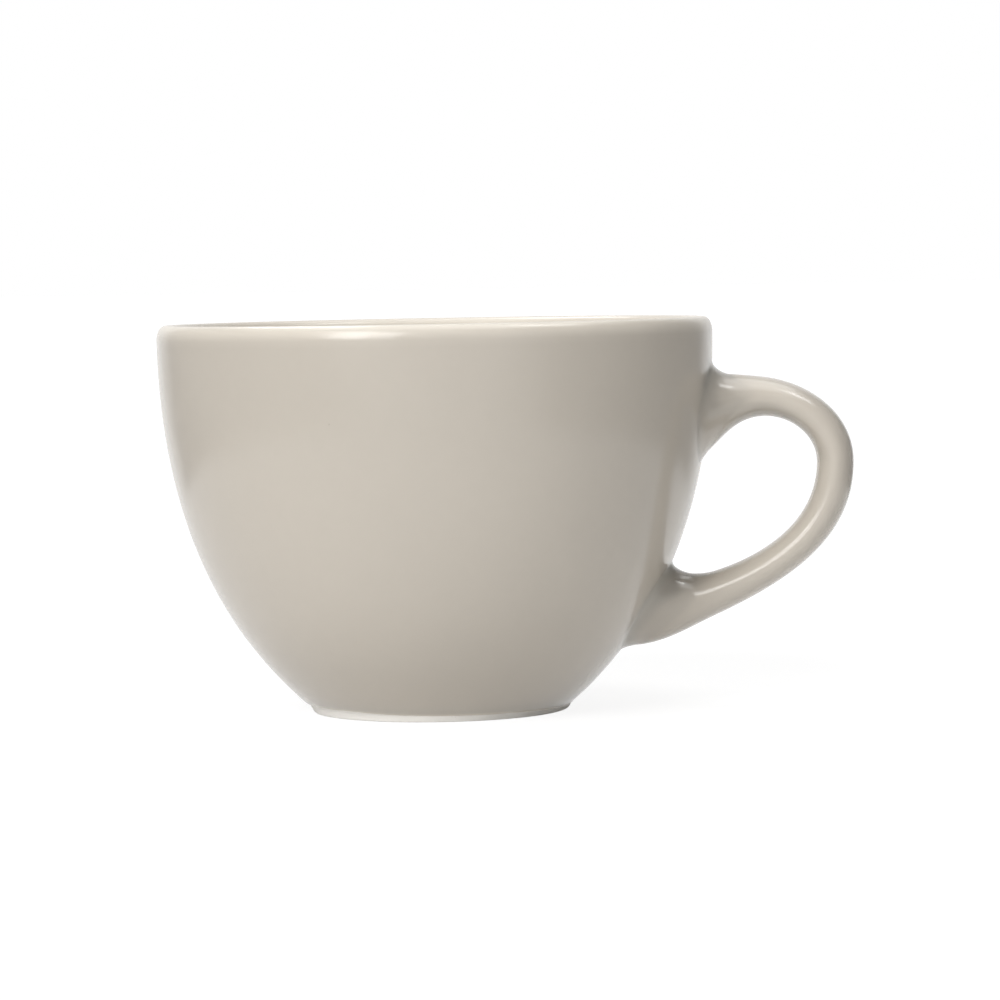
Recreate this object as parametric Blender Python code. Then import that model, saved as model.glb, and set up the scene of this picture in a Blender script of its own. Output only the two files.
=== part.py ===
"""Breakfast cup in glazed stoneware.

A bowl shaped on the wheel, with its lip, standing ring and foot well turned in one piece, and a
cast loop handle whose two ends are mitred to the wall and stuck on with beds of slip.

Metres, +Z up. The cup stands on Z = 0 with its handle towards +X, and the origin lies under the
middle of the whole outline, so the bowl's own axis stands to the -X side of it.
"""

import math

import bmesh
import bpy
from mathutils import Vector

# Bowl, outside
CUP_HEIGHT = 0.0737  # standing plane to the top of the lip
RIM_DIAMETER = 0.105  # outside of the lip
FOOT_DIAMETER = 0.0467  # outside of the flat standing ring
FOOT_EDGE_RADIUS = 0.0015  # rounding between the standing ring and the wall
FLARE_ANGLE = math.radians(46.5)  # how steeply the wall leaves the foot
FLARE_PULL = 0.0081  # how far that flare holds on up the wall
UPRIGHT_PULL = 0.0487  # how far the upright lip holds on down the wall

# Bowl, inside and underneath
LIP_THICKNESS = 0.0034  # the lip is a half round of this thickness
WALL_THICKNESS = 0.0050  # at the foot; the wall thins evenly up to the lip
FLOOR_THICKNESS = 0.0045  # over the foot well
FLOOR_CORNER = 0.0090  # run of the soft corner between floor and wall
RING_WIDTH = 0.0036  # flat of the standing ring
WELL_DEPTH = 0.0025  # foot well, above the standing plane
WELL_CORNER = 0.0011  # rounding of the well's edge and of its ceiling

# Handle, as places on its outer and inner outlines
HANDLE_REACH = 0.0262  # from the lip's outside to the back of the loop
BACK_DROP = 0.0274  # from the lip's top to the height of the back
BACK_THICKNESS = 0.0069  # of the band, at the back
CROWN_STANDOFF = 0.0093  # from the lip's outside to the crown of the loop
CROWN_DROP = 0.0115  # from the lip's top to the top of the crown
CROWN_THICKNESS = 0.0074  # of the band, at the crown
ARM_RISE = 0.0175  # underside of the lower arm, plumb below the lip's outside
ARM_THICKNESS = 0.0083  # of the band there, measured upright
UPPER_ROOT_DROP = 0.0080  # from the lip's top to the top of the upper root
UPPER_ROOT_LENGTH = 0.0196  # of the upper root, down the wall
LOWER_ROOT_RISE = 0.0117  # from the standing plane to the lower root
LOWER_ROOT_LENGTH = 0.0167  # of the lower root, up the wall

# Handle, across the loop
HANDLE_WIDTH = 0.0108  # of the band, from its front to its back
UPPER_ROOT_WIDTH = 0.0165  # where the upper end meets the wall
LOWER_ROOT_WIDTH = 0.0195  # where the lower end meets the wall
SECTION_SQUARENESS = 2.3  # 2 is a plain oval, more is squarer

# Headings of the outlines, turning round the loop from the upper root to the lower one
CROWN_HEADINGS = (math.radians(-6.7), math.radians(2.4))  # outer, inner
BACK_HEADINGS = (math.radians(-90.0), math.radians(-90.0))
ARM_HEADINGS = (math.radians(-155.4), math.radians(-162.7))
UPPER_ROOT_HEADINGS = (math.radians(-100.0), math.radians(57.0))
LOWER_ROOT_HEADINGS = (math.radians(-178.0), math.radians(90.0))
OUTLINE_PULL = 0.38  # how far a heading holds, as a share of the run to the next place

# Slip joints
SLIP_THICKNESS = 0.0006  # bed of slip between the wall and the handle's end
SEAT = 0.0003  # clearance on each side of the slip
ROOT_BURY = 0.0030  # how far the uncut handle runs into the wall before it is mitred

# Facets
TURN_STEPS = 64
WALL_STEPS = 14
LIP_STEPS = 6
CORNER_STEPS = 4
SPAN_STEPS = 10  # along each of the handle's four spans
SECTION_POINTS = 20
ROOT_STEPS = 6  # steps of the end span that the slip is cut from
WELD = 0.000001
HALVINGS = 50  # of a share, to find a place along a curve
SMOOTH_ANGLE = math.radians(40.0)

# Finish, with linear colours
GLAZE_COLOUR = (0.60, 0.55, 0.48, 1.0)
GLAZE_ROUGHNESS = 0.2
SLIP_COLOUR = (0.72, 0.67, 0.58, 1.0)
SLIP_ROUGHNESS = 0.7

RIM_RADIUS = RIM_DIAMETER / 2
FOOT_RADIUS = FOOT_DIAMETER / 2
FLOOR_HEIGHT = WELL_DEPTH + FLOOR_THICKNESS
MITRE_OFFSET = SEAT + SLIP_THICKNESS + SEAT


def heading(angle):
    """Unit step along an angle in the outline's plane."""
    return Vector((math.cos(angle), math.sin(angle)))


def bezier(points, share):
    """Point at this share, 0 to 1, of a cubic curve."""
    rest = 1.0 - share
    start, first, second, end = points
    return (
        rest**3 * start
        + 3.0 * rest**2 * share * first
        + 3.0 * rest * share**2 * second
        + share**3 * end
    )


def bezier_heading(points, share):
    """Unit step along a cubic curve at this share of it."""
    rest = 1.0 - share
    start, first, second, end = points
    step = (
        rest**2 * (first - start)
        + 2.0 * rest * share * (second - first)
        + share**2 * (end - second)
    )
    return step.normalized()


def solve(function, target):
    """Share, 0 to 1, at which a growing function reaches its target."""
    low, high = 0.0, 1.0
    for _ in range(HALVINGS):
        middle = (low + high) / 2
        if function(middle) < target:
            low = middle
        else:
            high = middle
    return (low + high) / 2


def shares(steps):
    """Even shares from 0 to 1."""
    return [step / steps for step in range(steps + 1)]


def arc(centre, radius, start, end, steps):
    """Points along a round corner."""
    return [centre + radius * heading(start + share * (end - start)) for share in shares(steps)]


def wall_curve():
    """The outside of the wall, from the foot's rounding up to the lip, as (radius, height)."""
    edge_centre = Vector((FOOT_RADIUS, FOOT_EDGE_RADIUS))
    foot = edge_centre + FOOT_EDGE_RADIUS * heading(FLARE_ANGLE - math.pi / 2)
    lip = Vector((RIM_RADIUS, CUP_HEIGHT - LIP_THICKNESS / 2))
    upright = Vector((0.0, UPRIGHT_PULL))
    return foot, foot + FLARE_PULL * heading(FLARE_ANGLE), lip - upright, lip


def wall_point(share, offset=0.0):
    """Point on the outside of the wall, pushed out of it by an offset."""
    step = bezier_heading(wall_curve(), share)
    outward = Vector((step.y, -step.x))
    return bezier(wall_curve(), share) + offset * outward


def wall_at(height):
    """Point on the outside of the wall at this height."""
    return wall_point(solve(lambda share: wall_point(share).y, height))


def inner_point(share):
    """Point on the inside of the wall, across from the same share of its outside."""
    return wall_point(share, -(WALL_THICKNESS + share * (LIP_THICKNESS - WALL_THICKNESS)))


def inside_outline():
    """The floor and the inside of the wall, from the axis out and up to the lip."""
    corner_share = solve(lambda share: inner_point(share).y, FLOOR_HEIGHT)
    corner = inner_point(corner_share)

    def run_up_wall(share):
        return (inner_point(share) - corner).length if share > corner_share else 0.0

    rise_share = solve(run_up_wall, FLOOR_CORNER)
    run_in = corner - Vector((FLOOR_CORNER, 0.0))
    run_out = inner_point(rise_share)
    points = [Vector((0.0, FLOOR_HEIGHT))]
    for share in shares(CORNER_STEPS):
        points.append(run_in.lerp(corner, share).lerp(corner.lerp(run_out, share), share))
    for share in shares(WALL_STEPS)[1:-1]:
        points.append(inner_point(rise_share + share * (1.0 - rise_share)))
    return points


def lip_outline():
    """The half round of the lip, from the inside over to the outside."""
    centre = Vector((RIM_RADIUS - LIP_THICKNESS / 2, CUP_HEIGHT - LIP_THICKNESS / 2))
    return arc(centre, LIP_THICKNESS / 2, math.pi, 0.0, LIP_STEPS)


def foot_outline():
    """The foot's rounding, the standing ring and the well, from the outside in to the axis."""
    edge = Vector((FOOT_RADIUS, FOOT_EDGE_RADIUS))
    ring_inside = FOOT_RADIUS - RING_WIDTH
    corner = min(WELL_CORNER, WELL_DEPTH / 2)
    points = arc(edge, FOOT_EDGE_RADIUS, FLARE_ANGLE - math.pi / 2, -math.pi / 2, CORNER_STEPS)
    points += arc(Vector((ring_inside, corner)), corner, -math.pi / 2, -math.pi, CORNER_STEPS)
    well_side = Vector((ring_inside - 2.0 * corner, WELL_DEPTH - corner))
    points += arc(well_side, corner, 0.0, math.pi / 2, CORNER_STEPS)
    return points + [Vector((0.0, WELL_DEPTH))]


def bowl_outline():
    """The bowl's whole section, from the inside floor round to the ceiling of the foot well."""
    outside = [wall_point(share) for share in reversed(shares(WALL_STEPS))]
    return inside_outline() + lip_outline() + outside[1:-1] + foot_outline()


def mitre_outline():
    """Everything inside the face that the handle's ends are cut to."""
    face = [wall_point(share, MITRE_OFFSET) for share in shares(WALL_STEPS)]
    return [Vector((0.0, face[0].y))] + face + [Vector((0.0, face[-1].y))]


def slip_outline():
    """The skin of slip round the wall, from which the two beds are taken."""
    near = [wall_point(share, SEAT) for share in shares(WALL_STEPS)]
    far = [wall_point(share, SEAT + SLIP_THICKNESS) for share in shares(WALL_STEPS)]
    return near + far[::-1] + near[:1]


def handle_places():
    """Points of the outer and inner outline at the roots, crown, back and lower arm."""
    upper_top = CUP_HEIGHT - UPPER_ROOT_DROP
    crown = Vector((RIM_RADIUS + CROWN_STANDOFF, CUP_HEIGHT - CROWN_DROP))
    back = Vector((RIM_RADIUS + HANDLE_REACH, CUP_HEIGHT - BACK_DROP))
    arm = Vector((RIM_RADIUS, ARM_RISE))
    return (
        (wall_at(upper_top), wall_at(upper_top - UPPER_ROOT_LENGTH)),
        (crown, crown - Vector((0.0, CROWN_THICKNESS))),
        (back, back - Vector((BACK_THICKNESS, 0.0))),
        (arm, arm + Vector((0.0, ARM_THICKNESS))),
        (wall_at(LOWER_ROOT_RISE), wall_at(LOWER_ROOT_RISE + LOWER_ROOT_LENGTH)),
    )


def handle_headings():
    """Headings of the outer and inner outline at those places."""
    return UPPER_ROOT_HEADINGS, CROWN_HEADINGS, BACK_HEADINGS, ARM_HEADINGS, LOWER_ROOT_HEADINGS


def outline_point(side, span, share):
    """Point on the outer (0) or inner (1) outline, at a share of one of its four spans."""
    start, end = handle_places()[span][side], handle_places()[span + 1][side]
    leave, arrive = handle_headings()[span][side], handle_headings()[span + 1][side]
    pull = OUTLINE_PULL * (end - start).length
    return bezier((start, start + pull * heading(leave), end - pull * heading(arrive), end), share)


def half_width(span, share):
    """Half the handle's width: even round the loop, flaring over the end spans to the roots."""
    last_span = len(handle_places()) - 2
    flare = 0.0
    if span == 0:
        flare = (UPPER_ROOT_WIDTH - HANDLE_WIDTH) * (1.0 - share) ** 2
    elif span == last_span:
        flare = (LOWER_ROOT_WIDTH - HANDLE_WIDTH) * share**2
    return (HANDLE_WIDTH + flare) / 2


def rounded(value):
    """A cosine or sine drawn out towards the corners of a squarer section."""
    return math.copysign(abs(value) ** (2.0 / SECTION_SQUARENESS), value)


def section(span, share, bury=0.0):
    """Ring of points round the handle, pushed towards the wall by an amount."""
    outer = outline_point(0, span, share) - Vector((bury, 0.0))
    inner = outline_point(1, span, share) - Vector((bury, 0.0))
    middle, reach = (outer + inner) / 2, (outer - inner) / 2
    width = half_width(span, share)
    ring = []
    for point in range(SECTION_POINTS):
        turn = math.tau * point / SECTION_POINTS
        across = middle + rounded(math.cos(turn)) * reach
        ring.append((across.x, width * rounded(math.sin(turn)), across.y))
    return ring


def handle_sections():
    """Rings of the whole loop, from inside the wall at the top to inside it at the bottom."""
    spans = len(handle_places()) - 1
    rings = [section(0, 0.0, ROOT_BURY), section(0, 0.0)]
    for span in range(spans):
        rings += [section(span, share) for share in shares(SPAN_STEPS)[1:]]
    return rings + [section(spans - 1, 1.0, ROOT_BURY)]


def plain_material(name, colour, roughness):
    """A Principled material in one colour."""
    material = bpy.data.materials.new(name)
    material.use_nodes = True
    shader = material.node_tree.nodes["Principled BSDF"]
    shader.inputs["Base Color"].default_value = colour
    shader.inputs["Roughness"].default_value = roughness
    shader.inputs["Metallic"].default_value = 0.0
    material.diffuse_color = colour
    return material


def placed(name, shape, bowl_axis):
    """Object from a finished bmesh, standing on the bowl's axis."""
    bmesh.ops.recalc_face_normals(shape, faces=shape.faces)
    mesh = bpy.data.meshes.new(name)
    shape.to_mesh(mesh)
    shape.free()
    mesh.shade_smooth()
    mesh.set_sharp_from_angle(angle=SMOOTH_ANGLE)
    piece = bpy.data.objects.new(name, mesh)
    bpy.context.collection.objects.link(piece)
    piece.parent = bowl_axis
    return piece


def turned(name, outline, bowl_axis):
    """Solid turned from an outline that runs from axis to axis, or closes on itself."""
    shape = bmesh.new()
    corners = [shape.verts.new((point.x, 0.0, point.y)) for point in outline]
    edges = [shape.edges.new(pair) for pair in zip(corners, corners[1:])]
    bmesh.ops.spin(
        shape,
        geom=corners + edges,
        axis=(0.0, 0.0, 1.0),
        cent=(0.0, 0.0, 0.0),
        angle=math.tau,
        steps=TURN_STEPS,
        use_merge=True,
    )
    bmesh.ops.remove_doubles(shape, verts=shape.verts, dist=WELD)
    return placed(name, shape, bowl_axis)


def lofted(name, rings, bowl_axis):
    """Solid skinned over rings of points, closed with a flat face at each end."""
    shape = bmesh.new()
    loops = [[shape.verts.new(point) for point in ring] for ring in rings]
    for near, far in zip(loops, loops[1:]):
        for point in range(SECTION_POINTS):
            after = (point + 1) % SECTION_POINTS
            shape.faces.new((near[point], near[after], far[after], far[point]))
    shape.faces.new(loops[0])
    shape.faces.new(loops[-1])
    return placed(name, shape, bowl_axis)


def cut_by(piece, tool, operation):
    """Cut a piece with a tool, which is kept out of the finished cup."""
    cut = piece.modifiers.new("cut to the wall", "BOOLEAN")
    cut.operation = operation
    cut.solver = "EXACT"
    cut.object = tool
    tool.hide_render = True
    tool.display_type = "WIRE"


def make_bowl(bowl_axis):
    """Bowl with its lip, floor, standing ring and foot well."""
    bowl = turned("cup_bowl", bowl_outline(), bowl_axis)
    bowl.data.materials.append(plain_material("Bowl glaze", GLAZE_COLOUR, GLAZE_ROUGHNESS))


def make_handle(bowl_axis):
    """Loop handle, its ends mitred to stand off the wall by the bed of slip."""
    mitre = turned("mitre_tool", mitre_outline(), bowl_axis)
    handle = lofted("handle", handle_sections(), bowl_axis)
    handle.data.materials.append(plain_material("Handle glaze", GLAZE_COLOUR, GLAZE_ROUGHNESS))
    cut_by(handle, mitre, "DIFFERENCE")


def make_slip_joints(bowl_axis):
    """The two beds of slip, each carrying on the flare of the handle's end to the wall."""
    rings = handle_sections()
    roots = {"upper_slip_joint": rings[:ROOT_STEPS], "lower_slip_joint": rings[-ROOT_STEPS:]}
    skin = turned("slip_skin_tool", slip_outline(), bowl_axis)
    for name, root in roots.items():
        bed = lofted(name, root, bowl_axis)
        bed.data.materials.append(plain_material(f"{name} clay", SLIP_COLOUR, SLIP_ROUGHNESS))
        cut_by(bed, skin, "INTERSECT")


def main():
    for leftover in list(bpy.data.objects):
        bpy.data.objects.remove(leftover, do_unlink=True)
    bowl_axis = bpy.data.objects.new("bowl_axis", None)
    bpy.context.collection.objects.link(bowl_axis)
    bowl_axis.location.x = -HANDLE_REACH / 2
    make_bowl(bowl_axis)
    make_handle(bowl_axis)
    make_slip_joints(bowl_axis)


main()
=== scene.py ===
"""The looks of a breakfast cup, laid out as a Blender add-on.

The bowl is turned from one outline by Geometry Nodes, with its glaze rolled to an edge above the
bare foot. The handle is drawn along two outlines, and at each end a fillet of slip runs from it
out onto the wall. Metres, +Z up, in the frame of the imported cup.
"""

import math

import bpy
import numpy as np
from bpy.props import FloatProperty, FloatVectorProperty, IntProperty, PointerProperty
from mathutils import Matrix, Quaternion, Vector


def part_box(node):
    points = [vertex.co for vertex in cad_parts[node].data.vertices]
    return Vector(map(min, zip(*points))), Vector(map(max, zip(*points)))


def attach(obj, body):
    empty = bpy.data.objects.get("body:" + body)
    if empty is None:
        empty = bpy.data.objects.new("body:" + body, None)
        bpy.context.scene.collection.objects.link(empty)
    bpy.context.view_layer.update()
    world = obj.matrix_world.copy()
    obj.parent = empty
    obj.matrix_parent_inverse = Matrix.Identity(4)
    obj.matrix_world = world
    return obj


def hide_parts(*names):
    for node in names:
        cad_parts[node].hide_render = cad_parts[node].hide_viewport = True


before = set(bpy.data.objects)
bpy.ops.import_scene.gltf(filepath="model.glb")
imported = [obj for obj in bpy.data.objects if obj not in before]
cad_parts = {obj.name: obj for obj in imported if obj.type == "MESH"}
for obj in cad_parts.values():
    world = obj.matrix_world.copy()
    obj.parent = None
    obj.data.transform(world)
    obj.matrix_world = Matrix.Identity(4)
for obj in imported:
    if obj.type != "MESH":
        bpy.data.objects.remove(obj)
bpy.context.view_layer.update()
BOWL_LOW, BOWL_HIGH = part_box("cup_bowl")
_, HANDLE_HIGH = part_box("handle")
AXIS_X = (BOWL_LOW.x + BOWL_HIGH.x) / 2
AXIS = Vector((AXIS_X, 0.0, 0.0))
UP = Vector((0.0, 0.0, 1.0))

bl_info = {
    "name": "Breakfast cup",
    "version": (1, 0, 0),
    "blender": (4, 5, 0),
    "location": "3D View > Sidebar > Cup",
    "description": "Dresses a packed breakfast cup in its glaze, on a white studio floor",
    "category": "Object",
}


def length(name, description, default):
    """A size that a user may change, in metres."""
    return FloatProperty(name=name, description=description, default=default, unit="LENGTH", precision=5)


def angle(name, description, degrees):
    """An angle that a user may change."""
    return FloatProperty(
        name=name, description=description, default=math.radians(degrees), subtype="ANGLE"
    )


def colour(name, description, default):
    """A linear colour that a user may change."""
    return FloatVectorProperty(
        name=name, description=description, default=default, subtype="COLOR", size=3, min=0.0, max=1.0
    )


def amount(name, description, default):
    """A plain number that a user may change."""
    return FloatProperty(name=name, description=description, default=default)


class BowlSizes(bpy.types.PropertyGroup):
    """Sizes of the turned bowl and of the glaze on it."""

    height: length("Height", "Standing plane to the top of the lip", BOWL_HIGH.z)
    rim_radius: length("Rim radius", "Outside of the lip", (BOWL_HIGH.x - BOWL_LOW.x) / 2)
    foot_radius: length("Foot radius", "From which the wall and the standing ring are set out", 0.02335)
    foot_edge: length("Foot edge", "Rounding from which the wall's line starts", 0.0015)
    flare_angle: angle("Flare", "How steeply the wall leaves the foot", 46.5)
    flare_pull: length("Flare pull", "How far the flare holds on up the wall", 0.0081)
    upright_pull: length("Upright pull", "How far the upright lip holds on down the wall", 0.0487)
    lip: length("Lip", "Thickness of the wall under the lip", 0.0034)
    lip_drop: length("Lip drop", "How far down the lip's rounding runs", 0.0028)
    wall: length("Wall", "Thickness at the foot, from where it thins to the lip", 0.0050)
    floor: length("Floor", "Thickness over the foot well", 0.0045)
    floor_corner: length("Floor corner", "Run of the soft corner between floor and wall", 0.0090)
    ring_width: length("Ring width", "From the foot radius in to the foot well", 0.0036)
    ring_radius: length("Ring radius", "Top of the foot ring's side, where the wall runs in", 0.0250)
    ring_height: length("Ring height", "Of that place above the standing plane", 0.0015)
    ring_lean: angle("Ring lean", "How steeply the foot ring's side stands", 60.0)
    ring_edge: length("Ring edge", "Rounding under the foot ring's side", 0.0006)
    run_in: length("Run in", "Height at which the wall starts to run in to the foot ring", 0.0060)
    run_in_angle: angle("Run-in angle", "How steeply the wall comes down on the foot ring", 37.0)
    well_depth: length("Well depth", "Foot well, above the standing plane", 0.0025)
    well_corner: length("Well corner", "Rounding of the well's edge and ceiling", 0.0011)
    bare_band: length("Bare band", "Least clay left bare above the foot ring's rounding", 0.0009)
    bare_skew: length("Bare skew", "How much more is left bare where the band is widest", 0.0013)
    bare_wander: length("Bare wander", "How far the glaze line wanders", 0.0004)
    skew_heading: angle("Skew heading", "Where the bare band is widest", 207.0)
    roll: length("Glaze roll", "How far the glaze's edge stands proud of the clay", 0.00016)
    columns: IntProperty(name="Columns", description="Steps round the bowl", default=256, min=16)


class HandleSizes(bpy.types.PropertyGroup):
    """Sizes of the loop, from wall to wall."""

    reach: length("Reach", "From the lip's outside to the back of the loop", HANDLE_HIGH.x - BOWL_HIGH.x)
    back_drop: length("Back drop", "From the lip's top to the height of the back", 0.0274)
    back_thickness: length("Back thickness", "Of the band, at the back", 0.0069)
    crown_standoff: length("Crown standoff", "From the lip's outside to the crown", 0.0093)
    crown_drop: length("Crown drop", "From the lip's top to the top of the crown", 0.0115)
    crown_thickness: length("Crown thickness", "Of the band, at the crown", 0.0074)
    arm_rise: length("Arm rise", "Underside of the lower arm, plumb below the lip", 0.0175)
    arm_thickness: length("Arm thickness", "Of the band there, measured upright", 0.0083)
    upper_root: length("Upper root", "Height at which the band's top runs into the wall", 0.0630)
    upper_armpit: length("Upper armpit", "Height at which its underside does", 0.0472)
    lower_root: length("Lower root", "Height at which the arm's underside does", 0.0118)
    lower_armpit: length("Lower armpit", "Height at which the arm's top does", 0.0255)
    width: length("Width", "Of the band, from its front to its back", 0.0108)
    squareness: amount("Squareness", "2 is a plain oval section, more is squarer", 2.05)
    bury: length("Bury", "How far the band is drawn on into the wall", 0.0045)


class CupColours(bpy.types.PropertyGroup):
    """Colours of the glaze, the clay and the floor."""

    glaze: colour("Glaze", "The warm grey glaze", (0.585, 0.535, 0.465))
    # Partly thin glaze and partly a painted highlight: it colours the lip lighter and runs far down the
    # inside as a painted lighter band
    thin: colour("Thin glaze and highlight", "Glaze drawn thin over the lip, with the clay showing", (0.76, 0.70, 0.61))
    # Partly glaze gathered in hollows and partly painted shade: it darkens the handle's corners and the
    # wall beside them
    pooled_and_shade: colour("Pooled glaze and shade", "Glaze gathered in the corners", (0.43, 0.405, 0.36))
    speck: colour("Speck", "Iron specks in the glaze", (0.22, 0.17, 0.12))
    clay: colour("Clay", "Bare fired clay of the foot", (0.97, 0.945, 0.90))
    floor: colour("Floor", "The studio floor", (0.85, 0.85, 0.85))


class StageSettings(bpy.types.PropertyGroup):
    """Camera and light."""

    camera_heading: angle("Camera heading", "Turn of the camera round the cup's axis", 7.0)
    camera_distance: length("Camera distance", "From the cup's axis, level", 0.777)
    camera_height: length("Camera height", "Of the lens above the floor", 0.0825)
    camera_roll: angle("Camera roll", "Turn of the camera about its own view", -1.03)
    aim_side: length("Aim side", "Aim point, to the right of the cup's axis", 0.0118)
    aim_height: length("Aim height", "Aim point above the floor", 0.0395)
    lens: amount("Lens", "Focal length in millimetres", 147.7)
    key_heading: angle("Key heading", "Turn of the soft key light from the camera's heading", -34.0)
    key_rise: angle("Key rise", "Of the key light above the floor", 34.0)
    key_size: angle("Key size", "How wide the key light looks from the cup", 34.0)
    key_strength: amount("Key strength", "Of the key light", 2.28)
    top_strength: amount("Top strength", "Of the light overhead", 0.82)
    fill_strength: amount("Fill strength", "Of the wide light from behind", 0.80)
    front_strength: amount("Front strength", "Of the low light in front", 0.33)
    sky_strength: amount("Sky strength", "Of the soft light all round", 0.03)
    box_level: amount("Softbox level", "How much brighter than white a softbox looks in the gloss", 6.0)
    screen_grey: amount("Screen grey", "How bright the side screens look in the gloss", 0.32)


# Steps of the meshes: one length in metres, and counts of rows and columns
ROW_STEP = 0.0011
LIP_ROWS = 36
EDGE_ROWS = 7
FADE_ROWS = 16
RING_ROWS = 12
SPAN_ROWS = 40
LOOP_ROWS = 4 * SPAN_ROWS
FILLET_ROWS = 24
SECTION_COLUMNS = 96

# Points along the parts of the bowl's outline, on which the rows are then laid
WALL_POINTS = 2000
FLOOR_POINTS = 150
BEND_POINTS = 80
LIP_POINTS = 90
CORNER_POINTS = 24
SIDE_POINTS = 20
RING_POINTS = 8

# How the glaze rolls to an edge and draws thin, with a painted highlight over the lip, in metres, and how
# much of it gathers at the edge
ROLL_EDGE = 0.00025
ROLL_FADE = 0.0022
ROLL_RUN = 0.0080
THIN_HIGHLIGHT_CORE = 0.0010
THIN_HIGHLIGHT_FADE = 0.0034
# Painted lighter band: inside the cup the thin colour runs much further down
HIGHLIGHT_FADE_INSIDE = 0.0120
THIN_EDGE = 0.0009
EDGE_POOL = 0.5

# Pull at each end of a smooth span, as a share of its length, and the gap in metres that is welded
SPAN_PULL = 0.38
WELD = 1e-6


def step_along(turn):
    """Unit step along an angle, in the plane of an outline."""
    return np.array((math.cos(turn), math.sin(turn)))


def unit(steps):
    """The same steps, each with a length of 1."""
    return steps / np.linalg.norm(steps, axis=-1, keepdims=True)


def bezier(points, shares):
    """Points at these shares, 0 to 1, of the smooth curve that a row of points pulls from end to end."""
    last = len(points) - 1
    share = np.asarray(shares, float)[..., None]
    drawn = 0.0
    for step, point in enumerate(points):
        pull = math.comb(last, step) * share**step * (1.0 - share) ** (last - step)
        drawn = drawn + pull * np.asarray(point, float)
    return drawn


def span(start, leaving, end, arriving, shares):
    """Points of a smooth span between two places, by the headings that it leaves and arrives with."""
    pull = SPAN_PULL * np.linalg.norm(end - start)
    return bezier((start, start + pull * leaving, end - pull * arriving, end), shares)


def arc(centre, radius, start, end):
    """Points along a round corner."""
    turns = np.linspace(start, end, CORNER_POINTS)
    return np.asarray(centre) + radius * np.column_stack((np.cos(turns), np.sin(turns)))


def run_lengths(points):
    """Length along a row of points, from its start to each of them."""
    steps = np.linalg.norm(np.diff(points, axis=0), axis=1)
    return np.concatenate(((0.0,), np.cumsum(steps)))


def smooth(value):
    """0 to 1, easing in and out."""
    held = np.clip(value, 0.0, 1.0)
    return held * held * (3.0 - 2.0 * held)


def wall_line(bowl, shares):
    """The outside of the wall from the foot's rounding up to the lip, and its thickness there."""
    centre = np.array((bowl.foot_radius, bowl.foot_edge))
    foot = centre + bowl.foot_edge * step_along(bowl.flare_angle - math.pi / 2)
    lip = np.array((bowl.rim_radius, bowl.height - bowl.lip / 2))
    flare = foot + bowl.flare_pull * step_along(bowl.flare_angle)
    upright = lip - np.array((0.0, bowl.upright_pull))
    return bezier((foot, flare, upright, lip), shares), bowl.wall + shares * (bowl.lip - bowl.wall)


def inside_line(bowl):
    """The floor, its soft corner and the inside of the wall, from the axis up to the lip."""
    wall, thickness = wall_line(bowl, np.linspace(0.0, 1.0, WALL_POINTS))
    along = unit(np.gradient(wall, axis=0))
    inward = np.column_stack((-along[:, 1], along[:, 0]))
    inner = wall + thickness[:, None] * inward
    floor_height = bowl.well_depth + bowl.floor
    above = inner[inner[:, 1] > floor_height]
    corner = above[0]
    up_wall = above[run_lengths(above) > bowl.floor_corner]
    floor_end = corner - np.array((bowl.floor_corner, 0.0))
    floor = np.linspace((0.0, floor_height), floor_end, FLOOR_POINTS)
    bend = bezier((floor_end, corner, up_wall[0]), np.linspace(0.0, 1.0, BEND_POINTS))
    return np.vstack((floor, bend[1:], up_wall[1:]))


def lip_line(bowl, inside_end, wall_start):
    """Over the lip in a half oval, from the inside of the wall to its outside."""
    turns = np.linspace(math.pi, 0.0, LIP_POINTS)
    line = (inside_end + wall_start) / 2 + np.cos(turns)[:, None] * (wall_start - inside_end) / 2
    line[:, 1] += (bowl.height - line[:, 1]) * np.sin(turns)
    return line


def foot_runs(bowl, wall):
    """The wall with its run-in and the foot ring's side, and the rounding under that side."""
    kept = wall[wall[:, 1] > bowl.run_in]
    leaving = unit(kept[-1] - kept[-2])
    arriving = -step_along(bowl.run_in_angle)
    ring_top = np.array((bowl.ring_radius, bowl.ring_height))
    bend = span(kept[-1], leaving, ring_top, arriving, np.linspace(0.0, 1.0, BEND_POINTS))
    edge_turn = bowl.ring_lean - math.pi / 2
    edge_height = bowl.ring_edge * (1.0 + math.sin(edge_turn))
    side_run = (bowl.ring_height - edge_height) / math.tan(bowl.ring_lean)
    centre = (bowl.ring_radius - side_run - bowl.ring_edge * math.cos(edge_turn), bowl.ring_edge)
    edge = arc(centre, bowl.ring_edge, edge_turn, -math.pi / 2)
    side = np.linspace(ring_top, edge[0], SIDE_POINTS)
    return np.vstack((kept, bend[1:], side[1:])), edge


def outline_runs(bowl):
    """The bowl's whole section as named runs, from the inside floor round to the foot well."""
    below_lip = bowl.height - bowl.lip_drop
    inside = inside_line(bowl)
    inside = inside[inside[:, 1] < below_lip]
    wall = wall_line(bowl, np.linspace(1.0, 0.0, WALL_POINTS))[0]
    wall, foot_edge = foot_runs(bowl, wall[wall[:, 1] < below_lip])
    ring_inside = bowl.foot_radius - bowl.ring_width
    corner = min(bowl.well_corner, bowl.well_depth / 2)
    well_edge = arc((ring_inside, corner), corner, -math.pi / 2, -math.pi)
    well_side = (ring_inside - 2 * corner, bowl.well_depth - corner)
    ceiling = arc(well_side, corner, 0.0, math.pi / 2)
    return {
        "inside": inside,
        "lip": lip_line(bowl, inside[-1], wall[0]),
        "wall": wall,
        "foot edge": foot_edge,
        "ring": np.linspace(foot_edge[-1], (ring_inside, 0.0), RING_POINTS),
        "well edge": well_edge,
        "well": np.vstack((well_edge[-1], ceiling, (0.0, bowl.well_depth))),
    }


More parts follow.
